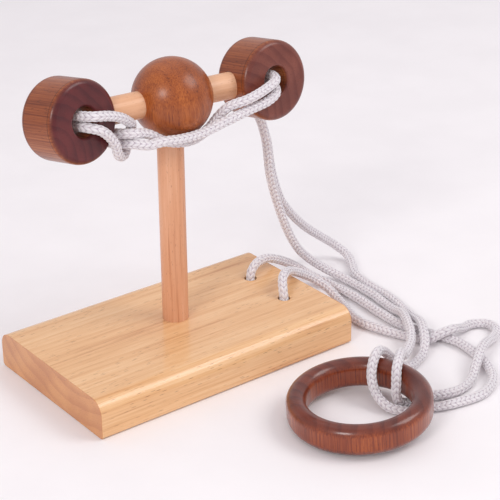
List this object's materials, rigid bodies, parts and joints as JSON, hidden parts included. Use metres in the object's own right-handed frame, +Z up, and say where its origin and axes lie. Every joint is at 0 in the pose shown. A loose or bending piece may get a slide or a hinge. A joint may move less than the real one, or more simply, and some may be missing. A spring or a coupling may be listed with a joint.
{
  "type": "rope and ring puzzle",
  "caption": "Table-top wooden rope and ring puzzle: a board with an upright post, a ball and crossbar with two bored discs, a loose ring, and a knotted braided cord threaded through them.",
  "frame": {"origin": "middle of the board's flat underside, on the surface it stands on", "axes": "+X along the board's grain to the player's right, -Y towards the player, +Z up along the post"},
  "size_m": [0.2116, 0.1802, 0.1522],
  "materials": {
    "board_wood": "satin lacquer",
    "dowel_wood": "satin",
    "ball_wood": "satin, stained",
    "disc_wood": "satin, stained dark",
    "ring_wood": "satin, stained red-brown",
    "cord": "braided nylon"
  },
  "bodies": {
    "stand": {"base_board": "board_wood", "post": "dowel_wood", "ball": "ball_wood", "crossbar": "dowel_wood", "left_disc": "disc_wood", "right_disc": "disc_wood", "cord_near_a": "cord", "cord_rising": "cord", "cord_hitch": "cord", "cord_falling": "cord", "cord_near_b": "cord", "knot_a": "cord", "knot_b": "cord"},
    "cord_bight": {"cord_ring_a": "cord", "cord_ring_b": "cord"},
    "ring": {"loose_ring": "ring_wood"}
  },
  "joints": [
    {"name": "ring_lift", "type": "slide", "parent": "stand", "child": "cord_bight", "axis": [0, 0, 1], "range_m": [0, 0.03]},
    {"name": "ring_turn", "type": "hinge", "parent": "cord_bight", "child": "ring", "pos_m": [0.0271, -0.1029, 0.0092], "axis": [-0.0663, 0.0216, 0.9976], "continuous": true}
  ]
}
